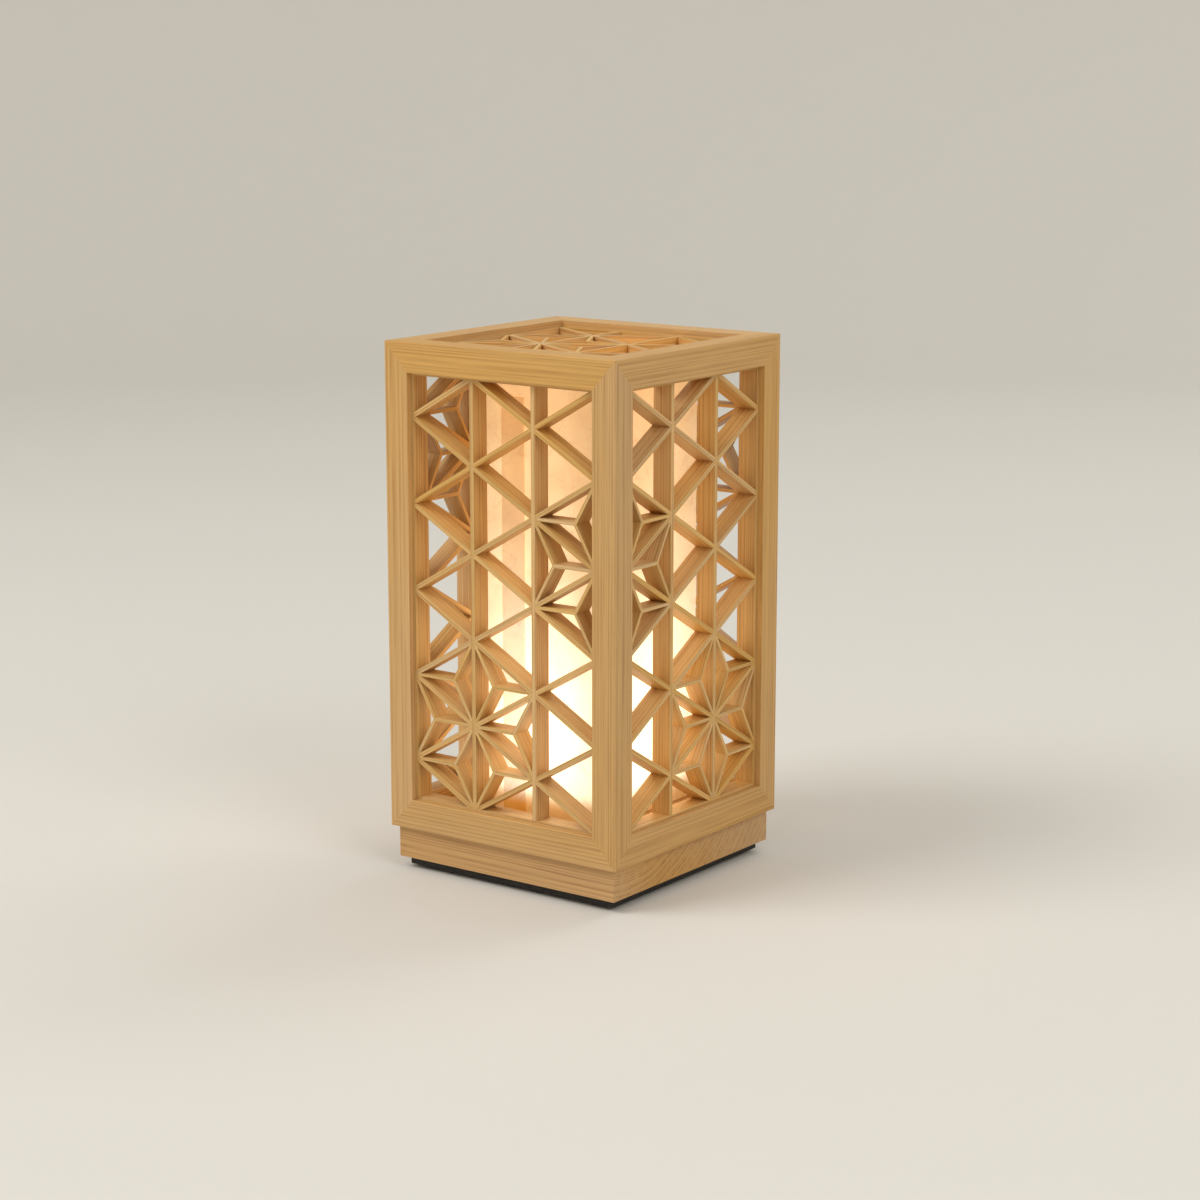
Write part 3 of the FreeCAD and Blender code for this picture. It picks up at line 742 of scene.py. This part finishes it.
def hemp_leaves(panel, tree):
    """Leaf strips of a panel's flowers, three in each triangle that they fill round a node of the lattice."""
    right, up, outward = PANELS[panel]
    turn = Matrix((right, up, outward)).transposed()
    middle, half_width, _, half_depth = panel_opening(panel)
    face = middle + half_depth * outward
    pitch = 2 * half_width / column_count
    side = pitch / math.cos(math.radians(strip_lean_deg))
    out = side / math.sqrt(3)
    places, turns = [], []
    for column, half_row, first, count in FLOWERS[panel]:
        node = Vector((column * pitch - half_width, half_row * side / 2, 0))
        for sector in range(first, first + count):
            angle = math.radians(sector_deg * sector)
            centroid = node + out * Vector((math.cos(angle), math.sin(angle), 0))
            for corner_deg in TRIANGLE_CORNERS_DEG:
                places.append(face + turn @ centroid)
                spin = Matrix.Rotation(angle + math.radians(corner_deg), 3, "Z")
                turns.append((turn @ spin).to_euler())
    base = bpy.data.meshes.new("leaf_places")
    base.from_pydata(places, [], [])
    stored = base.attributes.new("turn", "FLOAT_VECTOR", "POINT")
    for entry, euler in zip(stored.data, turns):
        entry.vector = euler[:]
    low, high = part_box(f"{panel}_panel_leaves")
    depth = abs((high - low).dot(outward))
    mesh = made_by(tree, base, {"Length": out - strip_thickness, "Thickness": leaf_thickness, "Depth": depth})
    piece(f"kumiko_{panel}_leaves", mesh, leaf_wood, "lantern", f"{panel}_panel_leaves")


# Base

def board(node):
    """Board of the base with its outer edges eased and its grain from left to right."""
    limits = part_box(node)

    def outer_planes(edge):
        ends = [vert.co for vert in edge.verts]
        return sum(all(abs(end[i] - limit[i]) < on_plane for end in ends)
                   for limit in limits for i in range(3))

    mesh = merged_copy(node)
    ease(mesh, [edge for edge in mesh.edges if outer_planes(edge) == 2])
    lay_grain(mesh, X, Y)
    piece("base_" + node, finished(mesh, node), plinth_wood, "base", node)


def rubber_feet():
    """Four low pads with a rounded rim."""
    low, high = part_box("feet")
    thickness = high.z - low.z
    rim_cut = foot_rim * (1 - math.sqrt(0.5))
    profile = [(0, 0), (foot_radius - foot_rim, 0), (foot_radius - rim_cut, rim_cut), (foot_radius, foot_rim),
               (foot_radius, thickness), (0, thickness)]
    mesh = bmesh.new()
    for x in (low.x + foot_radius, high.x - foot_radius):
        for y in (low.y + foot_radius, high.y - foot_radius):
            rings(mesh, profile, foot_sides, Vector((x, y, low.z)))
    bmesh.ops.recalc_face_normals(mesh, faces=mesh.faces)
    piece("rubber_feet", finished(mesh, "feet"), rubber, "base", "feet")


def screw_shape(tree, given):
    """One screw in a node tree: the head's seat at the origin and its domed, recessed face down along -Z."""
    half_head = add(tree, "ShaderNodeMath", {"operation": "MULTIPLY"}, {0: given["Head height"], 1: 0.5})
    head = add(tree, "ShaderNodeCombineXYZ", {}, {2: given["Head height"]})
    at_band = add(tree, "ShaderNodeVectorMath", {"operation": "MULTIPLY"},
                  {0: head.outputs[0], 1: (0, 0, -0.5)})
    at_face = add(tree, "ShaderNodeVectorMath", {"operation": "MULTIPLY"},
                  {0: head.outputs[0], 1: (0, 0, -1)})

    # A straight band under the seat, a domed face under it, and the shank
    band = add(tree, "GeometryNodeMeshCone", {"fill_type": "NGON"},
               {"Vertices": head_sides, "Radius Top": given["Head radius"],
                "Radius Bottom": given["Head radius"], "Depth": half_head.outputs[0]})
    band_below = add(tree, "GeometryNodeTransform", {},
                     {"Geometry": band.outputs["Mesh"], "Translation": at_band.outputs[0]})
    dome = add(tree, "GeometryNodeMeshCone", {"fill_type": "NGON"},
               {"Vertices": head_sides, "Radius Top": given["Head radius"],
                "Radius Bottom": given["Face radius"], "Depth": half_head.outputs[0]})
    dome_below = add(tree, "GeometryNodeTransform", {},
                     {"Geometry": dome.outputs["Mesh"], "Translation": at_face.outputs[0]})
    shank = add(tree, "GeometryNodeMeshCone", {"fill_type": "NGON"},
                {"Vertices": shank_sides, "Radius Top": given["Shank radius"],
                 "Radius Bottom": given["Shank radius"], "Depth": given["Reach"]})

    # These parts only touch, and the manifold solver still joins them into one closed mesh
    whole = add(tree, "GeometryNodeMeshBoolean", {"operation": "UNION", "solver": "MANIFOLD"})
    for part in (band_below, dome_below, shank):
        tree.links.new(part.outputs[0], whole.inputs["Mesh 2"])

    # Two bars, half in the face, cut the cross recess
    deep = add(tree, "ShaderNodeMath", {"operation": "MULTIPLY"}, {0: given["Recess depth"], 1: 2.0})
    recessed = add(tree, "GeometryNodeMeshBoolean", {"operation": "DIFFERENCE", "solver": "MANIFOLD"},
                   {"Mesh 1": whole.outputs[0]})
    for long_side, short_side in ((0, 1), (1, 0)):
        size = add(tree, "ShaderNodeCombineXYZ", {},
                   {long_side: given["Recess length"], short_side: given["Recess width"], 2: deep.outputs[0]})
        bar = add(tree, "GeometryNodeMeshCube", {}, {"Size": size.outputs[0]})
        bar_in_face = add(tree, "GeometryNodeTransform", {},
                          {"Geometry": bar.outputs["Mesh"], "Translation": at_face.outputs[0]})
        tree.links.new(bar_in_face.outputs[0], recessed.inputs["Mesh 2"])
    return recessed.outputs[0]


def screw_tree():
    """Node tree that sets one cross-recessed pan head screw on every vertex."""
    tree = bpy.data.node_groups.new("pan_head_screws", "GeometryNodeTree")
    tree.interface.new_socket("Places", in_out="INPUT", socket_type="NodeSocketGeometry")
    for name in ("Reach", "Head radius", "Face radius", "Head height", "Shank radius", "Recess length",
                 "Recess width", "Recess depth", "Upside down"):
        tree.interface.new_socket(name, in_out="INPUT", socket_type="NodeSocketFloat")
    tree.interface.new_socket("Screws", in_out="OUTPUT", socket_type="NodeSocketGeometry")
    given = add(tree, "NodeGroupInput").outputs
    tip = add(tree, "ShaderNodeCombineXYZ", {}, {0: given["Upside down"]})
    facing = add(tree, "FunctionNodeEulerToRotation", {}, {0: tip.outputs[0]})
    placed = add(tree, "GeometryNodeInstanceOnPoints", {},
                 {"Points": given["Places"], "Instance": screw_shape(tree, given),
                  "Rotation": facing.outputs[0]})
    real = add(tree, "GeometryNodeRealizeInstances", {}, {0: placed.outputs[0]})
    done = add(tree, "GeometryNodeSetMaterial", {}, {"Geometry": real.outputs[0], "Material": zinc})
    add(tree, "NodeGroupOutput", {}, {0: done.outputs[0]})
    return tree


def screws(node, tree, columns, rows, head_up):
    """Screws of one CAD node, on a grid of columns by rows."""
    low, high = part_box(node)
    xs = [low.x + head_radius, high.x - head_radius][:columns]
    ys = [low.y + head_radius, high.y - head_radius][:rows]
    seat = high.z - head_height if head_up else low.z + head_height
    base = bpy.data.meshes.new("screw_places")
    base.from_pydata([(x, y, seat) for x in xs for y in ys], [], [])
    mesh = made_by(tree, base, {
        "Reach": high.z - low.z - head_height,
        "Head radius": head_radius,
        "Face radius": face_radius,
        "Head height": head_height,
        "Shank radius": shank_radius,
        "Recess length": recess_length,
        "Recess width": recess_width,
        "Recess depth": recess_depth,
        "Upside down": math.pi if head_up else 0.0,
    })
    piece("cross_" + node, mesh, zinc, "base", node)


# Paper tube

def paper_outline(half):
    """Square outline with small rounded folds, as points round the tube."""
    quarter = math.pi / 2

    def on_fold(side, angle):
        middle = Matrix.Rotation(side * quarter, 2) @ Vector((half - fold_radius, half - fold_radius))
        return middle + fold_radius * Vector((math.cos(angle), math.sin(angle)))

    points = []
    for side in range(4):
        points += [on_fold(side, (side + step / fold_steps) * quarter) for step in range(fold_steps + 1)]
        start, end = points[-1], on_fold(side + 1, (side + 1) * quarter)
        points += [start.lerp(end, part / side_parts) for part in range(1, side_parts)]
    return points


def paper_wall(mesh, outline, inward):
    """Rows of vertices up one face of the sheet, whose flat sides are bowed in by a hair."""
    low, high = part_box("diffuser_tube")
    rows = []
    for row in range(paper_rows + 1):
        height = row / paper_rows
        rise = low.z + height * (high.z - low.z)
        ring = []
        for point in outline:
            flatness = 1 - (min(abs(point.x), abs(point.y)) / high.x) ** 2
            wave = math.sin(bow_upward_rad * height + bow_across_rad * point.x / high.x) ** 2
            bow = paper_bow * flatness * math.sin(math.pi * height) * wave
            shrink = 1 - (inward + bow) / high.x
            ring.append(mesh.verts.new((point.x * shrink, point.y * shrink, rise)))
        rows.append(ring)
    return rows


def paper_tube():
    """Tube folded from one sheet, open at the top and the foot."""
    outline = paper_outline(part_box("diffuser_tube")[1].x)
    mesh = bmesh.new()
    outer = paper_wall(mesh, outline, 0.0)
    inner = paper_wall(mesh, outline, paper_thickness)
    for i in range(len(outline)):
        j = (i + 1) % len(outline)
        for row in range(paper_rows):
            mesh.faces.new([outer[row][i], outer[row][j], outer[row + 1][j], outer[row + 1][i]])
            mesh.faces.new([inner[row][j], inner[row][i], inner[row + 1][i], inner[row + 1][j]])
        mesh.faces.new([outer[-1][i], outer[-1][j], inner[-1][j], inner[-1][i]])
        mesh.faces.new([inner[0][i], inner[0][j], outer[0][j], outer[0][i]])
    piece("paper_tube", smoothed(mesh, "paper_tube"), tube_paper, "base", "diffuser_tube")


# Bulb

def threaded_cap():
    """Screw cap with a rolled round thread that winds up it."""
    low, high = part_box("bulb_cap")
    radius, length = high.x, high.z - low.z
    mesh = bmesh.new()

    # The thread runs out over one pitch at both ends
    loops = []
    for row in range(thread_rows + 1):
        rise = length * row / thread_rows
        fade = max(0, min(1, (length - rise) / thread_pitch, rise / thread_pitch))
        loop = []
        for i in range(round_sides):
            angle = 2 * math.pi * i / round_sides
            wave = 0.5 - 0.5 * math.cos(2 * math.pi * rise / thread_pitch - angle)
            here = radius - thread_height * wave * fade
            loop.append(mesh.verts.new((here * math.cos(angle), here * math.sin(angle), low.z + rise)))
        loops.append(loop)
    for lower, upper in zip(loops, loops[1:]):
        for i in range(round_sides):
            j = (i + 1) % round_sides
            mesh.faces.new([lower[i], lower[j], upper[j], upper[i]])
    mesh.faces.new(loops[0][::-1])
    mesh.faces.new(loops[-1])
    piece("threaded_cap", smoothed(mesh, "bulb_cap"), nickel, "bulb", "bulb_cap")


def opal_globe():
    """Opal globe with a wall that ends in a lip on the neck."""
    low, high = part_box("bulb_globe")
    radius = high.x
    centre = high.z - radius

    def arc(size):
        foot = math.asin(max(-1, (low.z - centre) / size))
        angles = [foot + (math.pi / 2 - foot) * i / globe_steps for i in range(globe_steps)]
        return [(size * math.cos(a), centre + size * math.sin(a)) for a in angles]

    outer, inner = arc(radius), arc(radius - globe_wall)
    profile = [(0, high.z - globe_wall)] + inner[::-1] + outer + [(0, high.z)]
    turned("opal_globe", profile, opal, "bulb", "bulb_globe")


def bulb_neck():
    """White housing that flares in a hollow curve from the cap to the globe."""
    low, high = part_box("bulb_neck")
    cap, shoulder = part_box("bulb_cap")[1].x, high.x
    profile = [(0, low.z), (cap, low.z)]
    for i in range(1, neck_steps):
        part = i / neck_steps
        flare = cap + (shoulder - cap) * part - neck_hollow * math.sin(math.pi * part)
        profile.append((flare, low.z + (high.z - low.z) * part))
    profile += [(shoulder, high.z), (0, high.z)]
    turned("bulb_neck_housing", profile, white_plastic, "bulb", "bulb_neck")


# Build the lamp

for corner in CORNERS:
    frame_member("post_" + corner)
for side in SIDES:
    frame_member("bottom_rail_" + side)
    frame_member("top_rail_" + side)

for panel in PANELS:
    border(panel)
    strip_row(panel, "uprights", 90)
    strip_row(panel, "rising", strip_lean_deg)
    strip_row(panel, "falling", -strip_lean_deg)

leaves_on_points = leaf_tree()
for panel in FLOWERS:
    hemp_leaves(panel, leaves_on_points)

board("plinth")
board("deck")
board("diffuser_seat")
rubber_feet()
screws_on_points = screw_tree()
screws("plate_screws", screws_on_points, columns=2, rows=2, head_up=False)
screws("deck_screws", screws_on_points, columns=2, rows=2, head_up=False)
screws("holder_screws", screws_on_points, columns=2, rows=1, head_up=True)

paper_tube()
threaded_cap()
opal_globe()
bulb_neck()

dress(seam_paper, "diffuser_seam")
# The bottom plate's black also paints the shade of the gap under the plinth
dress(black_board, "bottom_plate")
dress(black_nylon, "cord_bush")
dress(pale_nylon, "terminal_block")
dress(silicone, "leads")
dress(black_phenolic, "holder_body")
dress(brass, "holder_shell", "holder_contact", "bulb_contact")
dress(black_insulator, "bulb_insulator")
dress(white_plastic, "bulb_board")


# Stage, light and camera

def pale_floor():
    """Plain pale floor that curves up all round into a seamless backdrop."""
    profile = [(0, 0), (floor_radius, 0)]
    for step in range(1, sweep_steps + 1):
        angle = math.radians(90) * step / sweep_steps
        profile.append((floor_radius + sweep_radius * math.sin(angle), sweep_radius * (1 - math.cos(angle))))
    profile.append((floor_radius + sweep_radius, wall_top))
    mesh = bmesh.new()
    rings(mesh, profile, floor_sides)
    data = finished(mesh, "floor")
    data.shade_smooth()
    material, tree, shader = new_material("pale_matt_floor")
    feed(tree, shader, {"Base Color": colour("#D8D5CE"), "Roughness": 0.8})
    data.materials.append(material)
    floor = bpy.data.objects.new("floor", data)
    bpy.context.scene.collection.objects.link(floor)
    floor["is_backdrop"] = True


def softbox(name, place, watts):
    """Square soft lamp that faces the middle of the lantern."""
    data = bpy.data.lights.new(name, "AREA")
    data.size = softbox_size
    data.energy = watts
    lamp = bpy.data.objects.new(name, data)
    lamp.location = place
    lamp.rotation_euler = (softbox_aim - Vector(place)).to_track_quat("-Z", "Y").to_euler()
    bpy.context.scene.collection.objects.link(lamp)


def studio():
    """Even pale surroundings with a key, a fill and a back light."""
    world = bpy.data.worlds.new("studio")
    world.use_nodes = True
    tree = world.node_tree
    feed(tree, tree.nodes["Background"], {"Color": colour("#E4E0D8"), "Strength": surroundings})
    bpy.context.scene.world = world
    for name, (place, watts) in SOFTBOXES.items():
        softbox(name, place, watts)


def photo_camera():
    """Camera where the photograph was taken from."""
    data = bpy.data.cameras.new("photo_camera")
    data.sensor_width = sensor_mm
    data.lens = lens_mm
    camera = bpy.data.objects.new("photo_camera", data)
    camera.location = camera_place
    camera.rotation_euler = Euler((math.radians(90 - camera_down_deg), 0, math.radians(camera_turn_deg)))
    bpy.context.scene.collection.objects.link(camera)
    bpy.context.scene.camera = camera


pale_floor()
studio()
photo_camera()
bpy.context.scene.view_settings.view_transform = "Standard"

boxes = {"cad": cad_box, "visual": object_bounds()}
{name: [list(corner) for corner in corners] for name, corners in boxes.items()}
